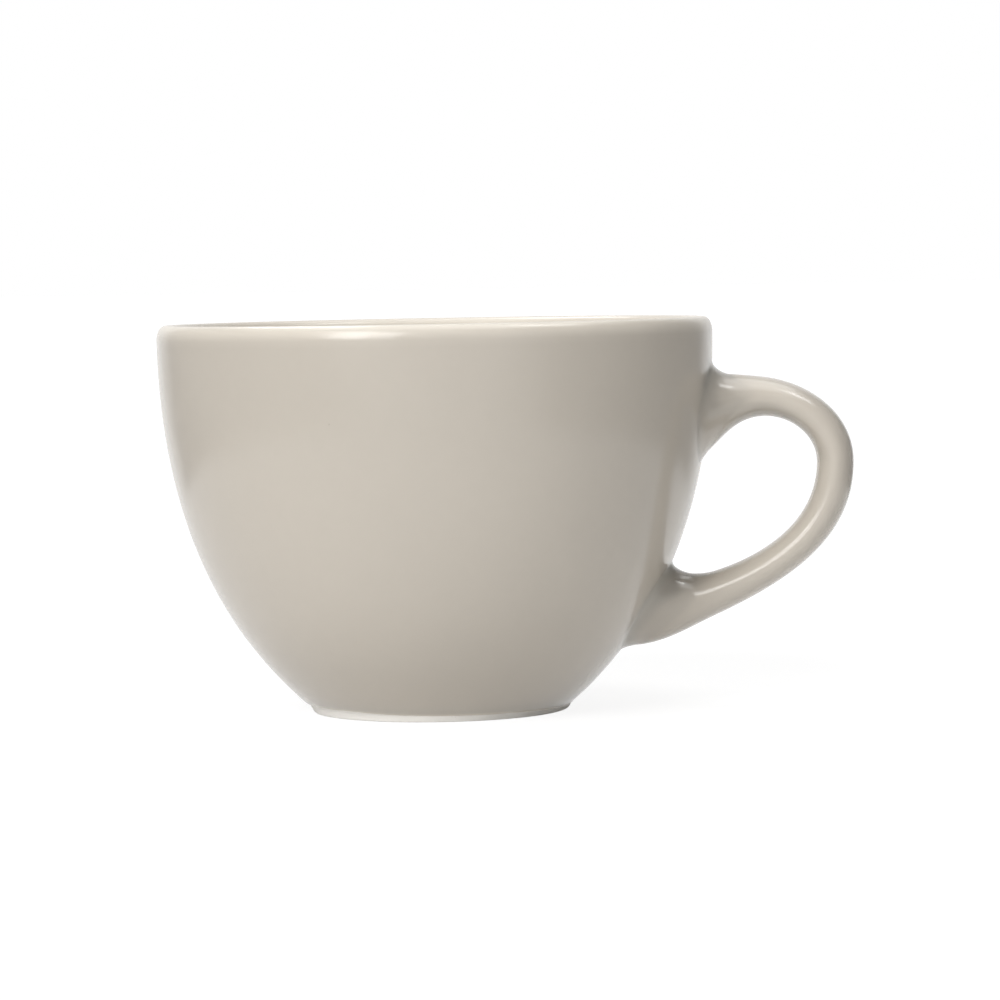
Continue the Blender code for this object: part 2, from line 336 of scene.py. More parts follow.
def glaze_edge(distance):
    """How proud the glaze stands, 0 to 1, at a distance from its edge: a round lip that tails off."""
    inside_lip = np.clip(distance / ROLL_EDGE, 0.0, 1.0)
    lip = np.sqrt(1.0 - (1.0 - inside_lip) ** 2)
    tail = np.exp(-np.maximum(distance - ROLL_EDGE, 0.0) / ROLL_FADE)
    return lip * tail * (1.0 - smooth(distance / ROLL_RUN))


ROW_VALUES = ("reach", "wander", "raised", "bare", "thin", "pool")


class Rows:
    """Rows of the turned bowl: where each lies on the outline, and what the glaze does there."""

    def __init__(self):
        self.values = {name: [] for name in ROW_VALUES}

    def add(self, reach, wander=0.0, raised=0.0, bare=0.0, thin=0.0, pool=0.0):
        """Add rows at these lengths along the outline."""
        given = dict(zip(ROW_VALUES, (reach, wander, raised, bare, thin, pool)))
        for name, value in given.items():
            self.values[name].append(np.broadcast_to(value, np.shape(reach)))

    def finished(self):
        """One array for each value, in order along the outline."""
        return {name: np.concatenate(parts) for name, parts in self.values.items()}


def steps_between(start, end):
    """Even places from start up to, but not including, end."""
    count = max(int(round((end - start) / ROW_STEP)), 1)
    return np.linspace(start, end, count, endpoint=False)


def bowl_rows(bowl, runs):
    """Rows of the bowl, close together over the lip and at the two edges of the glaze."""
    ends = dict(zip(runs, np.cumsum([run_lengths(points)[-1] for points in runs.values()])))
    line = ends["wall"] - bowl.bare_band
    well_line = ends["well edge"]
    near = np.linspace(0.0, 1.0, EDGE_ROWS) ** 2 * ROLL_EDGE
    away = ROLL_EDGE + np.linspace(0.0, 1.0, FADE_ROWS + 1)[1:] ** 2 * (ROLL_RUN - ROLL_EDGE)
    rolled = np.concatenate((near, away))
    held = 1.0 - smooth(rolled / ROLL_RUN)
    feathered = 1.0 - smooth(rolled / THIN_EDGE)
    gathered = EDGE_POOL * np.exp(-rolled / ROLL_FADE) * held * (1.0 - feathered)
    edge = {"raised": bowl.roll * glaze_edge(rolled), "thin": feathered, "pool": gathered}
    edge_upwards = {name: value[::-1] for name, value in edge.items()}
    bare_share = np.linspace(0.0, 1.0, RING_ROWS + 1)[1:]
    rows = Rows()
    rows.add(steps_between(0.0, ends["inside"]))
    rows.add(np.linspace(ends["inside"], ends["lip"], LIP_ROWS, endpoint=False))
    rows.add(steps_between(ends["lip"], line - ROLL_RUN))
    rows.add(line - rolled[::-1], wander=held[::-1], **edge_upwards)
    rows.add(line + bare_share * (ends["foot edge"] - line), wander=1.0 - bare_share, bare=1.0)
    rows.add(ends["foot edge"] + bare_share * (ends["ring"] - ends["foot edge"]), bare=1.0)
    rows.add(ends["ring"] + bare_share[:-1] * (well_line - ends["ring"]), bare=1.0)
    rows.add(well_line + rolled, **edge)
    rows.add(steps_between(well_line + ROLL_RUN + ROW_STEP, ends["well"]))
    rows.add(np.array((ends["well"],)))
    values = rows.finished()
    # Painted highlight, partly thin glaze: the thin colour lies over the lip and fades down the outside,
    # and far down the inside
    past_lip = values["reach"] - (ends["inside"] + ends["lip"]) / 2
    fade = np.where(past_lip < 0.0, HIGHLIGHT_FADE_INSIDE, THIN_HIGHLIGHT_FADE)
    values["thin"] = np.maximum(values["thin"], 1.0 - smooth((np.abs(past_lip) - THIN_HIGHLIGHT_CORE) / fade))
    return values


# How new nodes are spread out in the editor, the sockets of a Mix node that are colours, and the middle
# of cloudy noise
NODES_ACROSS = 9
NODE_STEP = (190.0, -230.0)
MIX_FIRST = 6
MIX_SECOND = 7
MIX_RESULT = 2
NOISE_MIDDLE = 0.5


class Wiring:
    """Adds nodes to a tree and links their sockets."""

    def __init__(self, tree):
        self.tree = tree

    def feed(self, node, sources):
        """Link a node's inputs, by name or number, to other sockets, or set their values."""
        for name, source in sources.items():
            if isinstance(source, bpy.types.NodeSocket):
                self.tree.links.new(source, node.inputs[name])
            else:
                node.inputs[name].default_value = source

    def add(self, kind, inputs=None, **settings):
        """A new node, with its settings set and its inputs fed."""
        node = self.tree.nodes.new(kind)
        down, across = divmod(len(self.tree.nodes), NODES_ACROSS)
        node.location = (across * NODE_STEP[0], down * NODE_STEP[1])
        for name, value in settings.items():
            setattr(node, name, value)
        self.feed(node, inputs or {})
        return node

    def math(self, operation, first, second=0.0):
        """Result of a sum on two values."""
        return self.add("ShaderNodeMath", {0: first, 1: second}, operation=operation).outputs[0]

    def ramp(self, value, low, high, to_low=0.0, to_high=1.0, kind="SMOOTHSTEP"):
        """A value carried from one range to another."""
        inputs = {"Value": value, "From Min": low, "From Max": high, "To Min": to_low, "To Max": to_high}
        return self.add("ShaderNodeMapRange", inputs, interpolation_type=kind).outputs[0]

    def mix(self, share, first, second):
        """A colour between two others."""
        inputs = {0: share, MIX_FIRST: first, MIX_SECOND: second}
        return self.add("ShaderNodeMix", inputs, data_type="RGBA").outputs[MIX_RESULT]

    def noise(self, place, scale, detail):
        """Cloudy noise, about 0 to 1."""
        inputs = {"Vector": place, "Scale": scale, "Detail": detail}
        return self.add("ShaderNodeTexNoise", inputs).outputs[0]

    def swing(self, place, scale, detail):
        """Cloudy noise to either side of 0."""
        return self.math("SUBTRACT", self.noise(place, scale, detail), NOISE_MIDDLE)

    def attribute(self, name):
        """A value that a piece holds under a name, for its material."""
        return self.add("ShaderNodeAttribute", attribute_name=name).outputs["Fac"]

    def stored(self, name):
        """A value that a shape holds under a name, for Geometry Nodes."""
        node = self.add("GeometryNodeInputNamedAttribute", {"Name": name}, data_type="FLOAT")
        return node.outputs[0]

    def parts(self, vector):
        """The X, Y and Z of a vector."""
        return self.add("ShaderNodeSeparateXYZ", {0: vector}).outputs

    def vector(self, x, y, z):
        """A vector from its X, Y and Z."""
        return self.add("ShaderNodeCombineXYZ", {"X": x, "Y": y, "Z": z}).outputs[0]

    def onward(self, kind, shape, inputs=None, **settings):
        """The shape that a node makes of this one."""
        return self.add(kind, {"Geometry": shape, **(inputs or {})}, **settings).outputs[0]


def new_group(name, kind, inputs, outputs):
    """A node group with these sockets, its wiring and what its inputs give."""
    tree = bpy.data.node_groups.new(name, kind)
    for way, sockets in (("INPUT", inputs), ("OUTPUT", outputs)):
        for socket, holds in sockets.items():
            tree.interface.new_socket(name=socket, in_out=way, socket_type=f"NodeSocket{holds}")
    wire = Wiring(tree)
    return tree, wire, wire.add("NodeGroupInput").outputs


WHEEL_INPUTS = {
    "Geometry": "Geometry",
    "Outline": "Object",
    "Rows": "Object",
    "Row Count": "Int",
    "Columns": "Int",
    "Axis X": "Float",
    "Skew": "Float",
    "Skew Heading": "Float",
    "Wander": "Float",
    "Seed": "Float",
    "Glaze": "Material",
    "Bare Clay": "Material",
}

# Values kept on the bowl: two for its glaze, which carry thin glaze with a painted highlight and pooled
# glaze with painted shade, and where the clay is bare
SHOWN_VALUES = ("thin", "pool", "bare")

# The glaze line's wander: noise in cells to the foot's radius, its detail and its seed
WANDER_SCALE = 2.4
WANDER_DETAIL = 3.0
WANDER_SEED = 1.0

# Half the side of the flat sheet that is turned, as a new grid has it
SHEET_HALF = 0.5

# How sharply the bare band is gathered to its widest side, and the value past which clay shows
SKEW_POWER = 4.0
BARE_PAST = 0.25


def wheel_tree():
    """Geometry Nodes that turn an outline into a closed bowl, row by row."""
    outputs = {"Geometry": "Geometry"}
    tree, wire, given = new_group("Turned on the wheel", "GeometryNodeTree", WHEEL_INPUTS, outputs)
    outline = wire.add("GeometryNodeObjectInfo", {"Object": given["Outline"]}).outputs["Geometry"]
    rows = wire.add("GeometryNodeObjectInfo", {"Object": given["Rows"]}).outputs["Geometry"]

    ring_columns = wire.math("ADD", given["Columns"], 1.0)
    counts = {"Vertices X": ring_columns, "Vertices Y": given["Row Count"]}
    sheet = wire.add("GeometryNodeMeshGrid", counts)
    place = wire.parts(wire.add("GeometryNodeInputPosition").outputs[0])
    across = wire.math("ADD", place["X"], SHEET_HALF)
    along = wire.math("ADD", place["Y"], SHEET_HALF)
    last_row = wire.math("SUBTRACT", given["Row Count"], 1.0)
    row = wire.math("ROUND", wire.math("MULTIPLY", along, last_row))

    read = {}
    for name in ROW_VALUES:
        sample = {"Geometry": rows, "Value": wire.stored(name), "Index": row}
        read[name] = wire.add("GeometryNodeSampleIndex", sample, data_type="FLOAT").outputs[0]

    turn = wire.math("MULTIPLY", across, -math.tau)
    east = wire.math("COSINE", turn)
    north = wire.math("SINE", turn)
    cloud = wire.swing(wire.vector(east, north, given["Seed"]), WANDER_SCALE, WANDER_DETAIL)
    wander = wire.math("MULTIPLY", wire.math("DIVIDE", cloud, NOISE_MIDDLE), given["Wander"])
    tilt = wire.math("COSINE", wire.math("SUBTRACT", turn, given["Skew Heading"]))
    widest = wire.math("POWER", wire.ramp(tilt, -1.0, 1.0, kind="LINEAR"), SKEW_POWER)
    skew = wire.math("MULTIPLY", widest, given["Skew"])
    rise = wire.math("MULTIPLY", wire.math("ADD", skew, wander), read["wander"])
    reach = wire.math("SUBTRACT", read["reach"], rise)

    sample = wire.add("GeometryNodeSampleCurve", {"Curves": outline, "Length": reach}, mode="LENGTH")
    spot = wire.parts(sample.outputs["Position"])
    tangent = wire.parts(sample.outputs["Tangent"])
    radius = wire.math("SUBTRACT", spot["X"], wire.math("MULTIPLY", tangent["Z"], read["raised"]))
    height = wire.math("ADD", spot["Z"], wire.math("MULTIPLY", tangent["X"], read["raised"]))
    x = wire.math("ADD", given["Axis X"], wire.math("MULTIPLY", radius, east))
    y = wire.math("MULTIPLY", radius, north)

    shape = sheet.outputs["Mesh"]
    for name in SHOWN_VALUES:
        kept = {"Name": name, "Value": read[name]}
        shape = wire.onward("GeometryNodeStoreNamedAttribute", shape, kept, data_type="FLOAT")
    shape = wire.onward("GeometryNodeSetPosition", shape, {"Position": wire.vector(x, y, height)})
    shape = wire.onward("GeometryNodeMergeByDistance", shape, {"Distance": WELD})
    shape = wire.onward("GeometryNodeSetShadeSmooth", shape)
    shape = wire.onward("GeometryNodeRealizeInstances", shape)
    shape = wire.onward("GeometryNodeSetMaterial", shape, {"Material": given["Glaze"]})
    bare = wire.math("GREATER_THAN", wire.stored("bare"), BARE_PAST)
    clay = {"Selection": bare, "Material": given["Bare Clay"]}
    shape = wire.onward("GeometryNodeSetMaterial", shape, clay)
    wire.add("NodeGroupOutput", {0: shape})
    return tree


def set_inputs(modifier, values):
    """Set a Geometry Nodes modifier's inputs, given by name."""
    sockets = modifier.node_group.interface.items_tree
    names = {item.name: item.identifier for item in sockets if item.in_out == "INPUT"}
    for name, value in values.items():
        modifier[names[name]] = value


def placed(name, data):
    """A new object in the scene, at the origin: a piece has its place in its mesh."""
    piece = bpy.data.objects.new(name, data)
    bpy.context.scene.collection.objects.link(piece)
    return piece


def keep_values(mesh, name, values):
    """Keep a value at each point of a mesh, under a name."""
    attribute = mesh.attributes.new(name, "FLOAT", "POINT")
    attribute.data.foreach_set("value", values.astype(np.float32))


def outline_object(runs):
    """A curve along the bowl's section, for the wheel to read."""
    points = np.vstack(list(runs.values()))
    apart = np.linalg.norm(np.diff(points, axis=0), axis=1) > WELD
    points = points[np.concatenate(((True,), apart))]
    curve = bpy.data.curves.new("bowl_outline", "CURVE")
    curve.dimensions = "3D"
    spline = curve.splines.new("POLY")
    spline.points.add(len(points) - 1)
    flat = np.column_stack((points[:, 0], np.zeros(len(points)), points[:, 1], np.ones(len(points))))
    spline.points.foreach_set("co", flat.ravel())
    return placed("bowl_outline", curve)


def rows_object(values):
    """A mesh of loose points that holds one row of the bowl at each point."""
    mesh = bpy.data.meshes.new("bowl_rows")
    mesh.vertices.add(len(values["reach"]))
    for name, row_values in values.items():
        keep_values(mesh, name, row_values)
    return placed("bowl_rows", mesh)


def throw_bowl(scene):
    """The bowl as one closed mesh, glazed down to the bare foot."""
    bowl = scene.cup_bowl
    runs = outline_runs(bowl)
    values = bowl_rows(bowl, runs)
    outline = outline_object(runs)
    rows = rows_object(values)
    wheel = placed("bowl_wheel", bpy.data.meshes.new("bowl_wheel"))
    modifier = wheel.modifiers.new("Turned on the wheel", "NODES")
    modifier.node_group = wheel_tree()
    set_inputs(
        modifier,
        {
            "Outline": outline,
            "Rows": rows,
            "Row Count": len(values["reach"]),
            "Columns": bowl.columns,
            "Axis X": AXIS_X,
            "Skew": bowl.bare_skew,
            "Skew Heading": bowl.skew_heading,
            "Wander": bowl.bare_wander,
            "Seed": WANDER_SEED,
            "Glaze": glaze_material("Bowl glaze", scene.cup_colours),
            "Bare Clay": clay_material("Bare clay", scene.cup_colours),
        },
    )
    graph = bpy.context.evaluated_depsgraph_get()
    mesh = bpy.data.meshes.new_from_object(wheel.evaluated_get(graph), depsgraph=graph)
    mesh.name = "bowl_body"
    mesh.materials.pop(index=0)  # an empty slot that comes before the two that the tree sets
    for helper in (wheel, outline, rows):
        bpy.data.objects.remove(helper)
    # Painted shade, partly pooled glaze, is carried out from the fillets onto the wall beside the joints
    spread_pool_and_shade(mesh, handle_skin(bowl, scene.cup_handle))
    return placed("bowl_body", mesh)


# Places up the wall at which the handle reads its radius and slope
REACH_POINTS = 4000


def wall_reach(bowl):
    """Heights up the outside of the wall, and its radius and slope there."""
    wall = wall_line(bowl, np.linspace(0.0, 1.0, REACH_POINTS))[0]
    return wall[:, 1], wall[:, 0], np.gradient(wall[:, 0], wall[:, 1])


def handle_places(bowl, handle):
    """Points of the outer and inner outline, at the roots, crown, back and arm."""
    heights, radii, _ = wall_reach(bowl)

    def on_wall(height):
        return np.array((np.interp(height, heights, radii), height))

    crown = np.array((bowl.rim_radius + handle.crown_standoff, bowl.height - handle.crown_drop))
    back = np.array((bowl.rim_radius + handle.reach, bowl.height - handle.back_drop))
    arm = np.array((bowl.rim_radius, handle.arm_rise))
    outer = (on_wall(handle.upper_root), crown, back, arm, on_wall(handle.lower_root))
    inner = (
        on_wall(handle.upper_armpit),
        crown - np.array((0.0, handle.crown_thickness)),
        back - np.array((handle.back_thickness, 0.0)),
        arm + np.array((0.0, handle.arm_thickness)),
        on_wall(handle.lower_armpit),
    )
    return outer, inner


# Headings in degrees, turning round the loop from the upper root to the lower one
OUTER_HEADINGS = (-3.3, -6.7, -90.0, -155.4, -180.9)
INNER_HEADINGS = (42.9, 2.4, -90.0, -162.7, -178.6)


def loop_outline(places, headings, bury):
    """One outline of the loop, drawn on at both ends into the wall."""
    steps = [step_along(math.radians(heading)) for heading in headings]
    shares = np.linspace(0.0, 1.0, SPAN_ROWS, endpoint=False)
    drawn = [places[0] - bury * (1.0 - shares)[:, None] * steps[0]]
    for start, end, leaving, arriving in zip(places, places[1:], steps, steps[1:]):
        drawn.append(span(start, leaving, end, arriving, shares))
    drawn.append(places[-1] + bury * np.append(shares, 1.0)[:, None] * steps[-1])
    return np.vstack(drawn)


def band_lines(bowl, handle):
    """The band's surface as lines along it from wall to wall, and the turn of its section at each."""
    outer_places, inner_places = handle_places(bowl, handle)
    outer = loop_outline(outer_places, OUTER_HEADINGS, handle.bury)
    inner = loop_outline(inner_places, INNER_HEADINGS, handle.bury)
    middle, half = (outer + inner) / 2, (outer - inner) / 2
    turns = np.linspace(0.0, math.tau, SECTION_COLUMNS, endpoint=False)
    power = handle.squareness
    swell = (np.abs(np.cos(turns)) ** power + np.abs(np.sin(turns)) ** power) ** (-1.0 / power)
    flat = middle[:, None, :] + half[:, None, :] * (swell * np.cos(turns))[None, :, None]
    side = np.broadcast_to(handle.width / 2 * swell * np.sin(turns), flat.shape[:2])
    return np.dstack((flat[..., 0], side, flat[..., 1])), turns


def wall_normals(bowl, points):
    """Outward normals of the wall at points on it, round the bowl's axis."""
    heights, _, slopes = wall_reach(bowl)
    slope = np.interp(points[..., 2], heights, slopes)
    return unit(np.concatenate((unit(points[..., :2]), -slope[..., None]), axis=-1))


def onto_wall(bowl, points):
    """The same points moved level onto the wall."""
    heights, radii, _ = wall_reach(bowl)
    radius = np.interp(points[..., 2], heights, radii)
    scale = radius / np.linalg.norm(points[..., :2], axis=-1)
    return np.concatenate((points[..., :2] * scale[..., None], points[..., 2:]), axis=-1)


def outside_part(bowl, line):
    """The part of a line that lies outside the wall, from crossing to crossing, and its run lengths."""
    heights, radii, _ = wall_reach(bowl)
    clear = np.linalg.norm(line[:, :2], axis=1) - np.interp(line[:, 2], heights, radii)
    half = len(line) // 2
    first = np.nonzero(clear[:half] < 0.0)[0][-1]
    last = half + np.nonzero(clear[half:] < 0.0)[0][0]
    crossings = []
    for buried, free in ((first, first + 1), (last, last - 1)):
        share = clear[buried] / (clear[buried] - clear[free])
        crossings.append(line[buried] + share * (line[free] - line[buried]))
    part = np.vstack((crossings[0], line[first + 1 : last], crossings[1]))
    return part, run_lengths(part)


def at_lengths(part, lengths, wanted):
    """Points at these lengths along a line."""
    return np.column_stack([np.interp(wanted, lengths, part[:, axis]) for axis in range(3)])


# Reach of each fillet along the wall and along the band: at the band's outer side, flanks and inner side
UPPER_FILLET = {"wall": (0.0027, 0.0064, 0.0010), "band": (0.0037, 0.0096, 0.0022)}
LOWER_FILLET = {"wall": (0.0012, 0.0050, 0.0029), "band": (0.0025, 0.0090, 0.0056)}

# Where a fillet's curve is pulled, as shares of the way from its edge to the crossing
WALL_PULLS = (0.0, 0.28, 0.56)
BAND_PULLS = (0.0, 0.22, 0.44)

# The length in metres over which the band's heading is taken
HEADING_RUN = 0.000126

# Hollows of this radius fill with glaze and painted shade, and a share of it spreads this far past the
# fillet as painted shade on the wall
POOL_SHADE_RADIUS = 0.0036
POOL_SHADE_SPREAD = 0.0030
POOL_SHADE_SHARE = 0.8
POOL_SHADE_BLURS = 6


def around(sides, turns):
    """A size that changes round the band, from its outer side by its flanks to its inner side."""
    outer, flank, inner = sides
    even = (outer + inner) / 2
    return even + (outer - inner) / 2 * np.cos(turns) + (flank - even) * np.sin(turns) ** 2


def fillet_rows(bowl, crossing, band_point, band_heading, reach):
    """Rows of points from the wall, where the fillet lies down on it, to the band."""
    along = np.roll(crossing, -1, axis=0) - np.roll(crossing, 1, axis=0)
    outward = unit(np.cross(wall_normals(bowl, crossing), along))
    from_middle = crossing - crossing.mean(axis=0)
    outward *= np.sign((outward * from_middle).sum(axis=1))[:, None]
    foot = onto_wall(bowl, crossing + reach[:, None] * outward)
    rising = wall_normals(bowl, foot)
    into = crossing - foot
    into = unit(into - (into * rising).sum(axis=1)[:, None] * rising)
    from_foot = np.linalg.norm(crossing - foot, axis=1)[:, None] * into
    from_band = np.linalg.norm(crossing - band_point, axis=1)[:, None] * -band_heading
    curve = [foot + pull * from_foot for pull in WALL_PULLS]
    curve += [band_point + pull * from_band for pull in reversed(BAND_PULLS)]
    return np.stack([bezier(curve, share) for share in np.linspace(0.0, 1.0, FILLET_ROWS)])


def handle_grid(bowl, handle):
    """Rows of points over the upper fillet, the loop and the lower fillet, on one smooth skin."""
    lines, turns = band_lines(bowl, handle)
    parts = [outside_part(bowl, lines[:, column]) for column in range(SECTION_COLUMNS)]
    starts = around(UPPER_FILLET["band"], turns)
    ends = np.array([lengths[-1] for _, lengths in parts]) - around(LOWER_FILLET["band"], turns)
    shares = np.linspace(0.0, 1.0, LOOP_ROWS)
    columns = []
    for part, start, end in zip(parts, starts, ends):
        columns.append(at_lengths(*part, start + shares * (end - start)))
    body = np.stack(columns, axis=1)
    fillets = []
    for fillet, end, places, run in (
        (UPPER_FILLET, 0, starts, HEADING_RUN),
        (LOWER_FILLET, -1, ends, -HEADING_RUN),
    ):
        pairs = [at_lengths(*part, (place, place + run)) for part, place in zip(parts, places)]
        headings = unit(np.array([onward - here for here, onward in pairs]))
        crossing = np.array([line[end] for line, _ in parts])
        fillets.append(fillet_rows(bowl, crossing, body[end], headings, around(fillet["wall"], turns)))
    upper, lower = fillets
    return upper, body, lower[::-1]


def pool_and_shade_tail(depth, middle, away):
    """What spreads of the pooled glaze and painted shade in a fillet, at a distance from its middle."""
    return POOL_SHADE_SHARE * depth * (1.0 - smooth(away / (middle + POOL_SHADE_SPREAD)))


def pooled_glaze_and_shade(grid, normals):
    """How far the glaze gathers, with painted shade, at each point, 0 to 1, and for each end its depth
    and way from the wall.

    It gathers most where the skin is hollow along its rows: partly pooled glaze, partly painted shade in
    the corners.
    """
    steps = np.diff(grid, axis=0)
    lengths = np.linalg.norm(steps, axis=-1, keepdims=True)
    bend = np.zeros_like(grid)
    bend[1:-1] = np.diff(steps / lengths, axis=0) / ((lengths[1:] + lengths[:-1]) / 2)
    hollow = np.clip((bend * normals).sum(axis=-1) * POOL_SHADE_RADIUS, 0.0, 1.0)
    for _ in range(POOL_SHADE_BLURS):
        padded = np.concatenate((hollow[:1], hollow, hollow[-1:]))
        hollow = (padded[:-2] + 2.0 * padded[1:-1] + padded[2:]) / 4.0
    runs = np.concatenate((np.zeros_like(lengths[:1, :, 0]), np.cumsum(lengths[..., 0], axis=0)))
    half = len(grid) // 2
    pools_and_shade, ends = [], []
    for part, run in ((hollow[:half], runs[:half]), (hollow[half:], runs[-1] - runs[half:])):
        depth = part.max(axis=0)
        middle = (run * part**2).sum(axis=0) / (part**2).sum(axis=0)
        pools_and_shade.append(np.maximum(part, pool_and_shade_tail(depth, middle, np.abs(run - middle))))
        ends.append((depth, middle))
    return np.concatenate(pools_and_shade), ends


def spread_pool_and_shade(mesh, skin):
    """Carry the pooled glaze and painted shade of the fillets a little way out over the wall."""
    spots = np.empty(3 * len(mesh.vertices), np.float32)
    mesh.vertices.foreach_get("co", spots)
    spots = spots.reshape(-1, 3) - np.array((AXIS_X, 0.0, 0.0))
    stored = mesh.attributes["pool"].data
    pool = np.empty(len(spots), np.float32)
    stored.foreach_get("value", pool)
    for foot, depth, middle in skin["ends"]:
        away = np.linalg.norm(spots[:, None, :] - foot[None, :, :], axis=-1)
        near = away.argmin(axis=1)
        pool = np.maximum(pool, pool_and_shade_tail(depth[near], middle[near], middle[near] + away.min(axis=1)))
    stored.foreach_set("value", pool.astype(np.float32))


def handle_skin(bowl, handle):
    """Grid, normals, and pooled glaze with painted shade, of the three pieces of one skin, and its ends
    on the wall.
    """
    upper, body, lower = handle_grid(bowl, handle)
    whole = np.concatenate((upper, body[1:-1], lower))
    along = np.gradient(whole, axis=0)
    round_about = np.roll(whole, -1, axis=1) - np.roll(whole, 1, axis=1)
    normals = unit(np.cross(along, round_about))
    for end in (0, -1):
        normals[end] = wall_normals(bowl, whole[end])
    # Painted shade, partly pooled glaze, darkens the fillets where the skin is hollow
    pool, ends = pooled_glaze_and_shade(whole, normals)
    first, last = len(upper), len(upper) + len(body) - 2
    pieces = {"upper": slice(0, first), "loop": slice(first - 1, last + 1), "lower": slice(last, None)}
    skin = {name: (whole[rows], normals[rows], pool[rows]) for name, rows in pieces.items()}
    skin["ends"] = [(whole[end], *pooled_and_shade) for end, pooled_and_shade in zip((0, -1), ends)]
    return skin


def skin_piece(name, grid, normals, pool, material):
    """A closed piece over rows of points, capped at both ends where it can't be seen."""
    rows, columns = grid.shape[:2]
    points = np.vstack((grid.reshape(-1, 3), grid[0].mean(axis=0), grid[-1].mean(axis=0)))
    points = points + np.array((AXIS_X, 0.0, 0.0))
    shown = np.vstack((normals.reshape(-1, 3), np.zeros((2, 3))))
    start, end = rows * columns, rows * columns + 1
    last_row = (rows - 1) * columns
    beside = [(column, (column + 1) % columns) for column in range(columns)]
    faces = []
    for near in range(0, last_row, columns):
        far = near + columns
        faces += [(near + here, far + here, far + after, near + after) for here, after in beside]
    for here, after in beside:
        faces.append((start, here, after))
        faces.append((end, last_row + after, last_row + here))
    mesh = bpy.data.meshes.new(name)
    mesh.from_pydata(points.tolist(), [], faces)
    mesh.shade_smooth()
    mesh.normals_split_custom_set_from_vertices(shown.tolist())
    keep_values(mesh, "pool", np.append(pool.ravel(), (0.0, 0.0)))
    mesh.materials.append(material)
    return placed(name, mesh)


# What the shader groups put out, and what each of them takes in
SURFACE = {"Colour": "Color", "Roughness": "Float", "Height": "Float"}
GLAZE_INPUTS = {
    "Glaze": "Color",
    "Thin Glaze And Highlight": "Color",
    "Pooled Glaze And Shade": "Color",
    "Speck": "Color",
    # These two masks carry painted light: a painted highlight over the lip and painted shade in corners,
    # each partly real glaze
    "Thin And Highlight": "Float",
    "Pool And Shade": "Float",
    "Cloud": "Float",
    "Plain Roughness": "Float",
}
CLAY_INPUTS = {"Clay": "Color", "Grit": "Color"}

# Noise in the glaze and in the clay: cells to the metre, and detail
CLOUDS = (38.0, 3.0)
MOTTLE = (420.0, 2.0)
PEEL = (190.0, 1.0)
GRAIN = (2600.0, 3.0)
STAINS = (160.0, 3.0)

# The glaze: how far clouds break up thin glaze and its painted highlight, how far mottle tells beside
# clouds, and what dulls it
THIN_BREAK = 0.5
MOTTLE_SHARE = 0.35
CLOUD_DULL = 0.08
THIN_DULL = 0.06

# The specks: cells to the metre, the least value of a cell that has one, its edge as shares of a cell,
# and how far it colours and pits the glaze
SPECK_CELLS = 230.0
SPECK_LEAST = 0.93
SPECK_EDGE = (0.02, 0.05)
SPECK_COLOUR = 0.2
SPECK_PIT = 0.5

# The clay: noise at which grit and stains begin and are full, their shares, and its roughness
GRIT_EDGE = (0.62, 0.80)
GRIT_SHARE = 0.15
STAIN_EDGE = (0.45, 0.80)
STAIN_SHARE = 0.10
CLAY_ROUGHNESS = 0.62
STAIN_DULL = 0.2


def fired_glaze(name):
    """Shader group: glaze drawn thin over the lip with a painted highlight, gathered in corners with
    painted shade, clouded and specked.
    """
    tree, wire, given = new_group(name, "ShaderNodeTree", GLAZE_INPUTS, SURFACE)
    place = wire.add("ShaderNodeTexCoord").outputs["Object"]
    broad = wire.swing(place, *CLOUDS)
    fine = wire.swing(place, *MOTTLE)

    # Painted highlight and painted shade: the thin mask lightens the tone over the lip, the pool mask
    # darkens it in corners, each partly real glaze
    uneven = wire.math("MULTIPLY", wire.math("MULTIPLY", broad, given["Thin And Highlight"]), THIN_BREAK)
    thin = wire.math("ADD", given["Thin And Highlight"], uneven)
    tone = wire.mix(thin, given["Glaze"], given["Thin Glaze And Highlight"])
    tone = wire.mix(given["Pool And Shade"], tone, given["Pooled Glaze And Shade"])

    cells = wire.add("ShaderNodeTexVoronoi", {"Vector": place, "Scale": SPECK_CELLS}).outputs
    chosen = wire.add("ShaderNodeSeparateColor", {0: cells["Color"]}).outputs[0]
    dot = wire.ramp(cells["Distance"], *SPECK_EDGE, 1.0, 0.0)
    speck = wire.math("MULTIPLY", dot, wire.math("GREATER_THAN", chosen, SPECK_LEAST))
    tone = wire.mix(wire.math("MULTIPLY", speck, SPECK_COLOUR), tone, given["Speck"])

    clouded = wire.math("ADD", broad, wire.math("MULTIPLY", fine, MOTTLE_SHARE))
    value = wire.math("ADD", wire.math("MULTIPLY", clouded, given["Cloud"]), 1.0)
    toned = wire.add("ShaderNodeHueSaturation", {"Color": tone, "Value": value}).outputs[0]

    cloud_dull = wire.math("MULTIPLY", broad, CLOUD_DULL)
    thin_dull = wire.math("MULTIPLY", thin, THIN_DULL)
    roughness = wire.math("ADD", given["Plain Roughness"], wire.math("ADD", cloud_dull, thin_dull))
    pitted = wire.math("SUBTRACT", wire.noise(place, *PEEL), wire.math("MULTIPLY", speck, SPECK_PIT))
    wire.add("NodeGroupOutput", {"Colour": toned, "Roughness": roughness, "Height": pitted})
    return tree


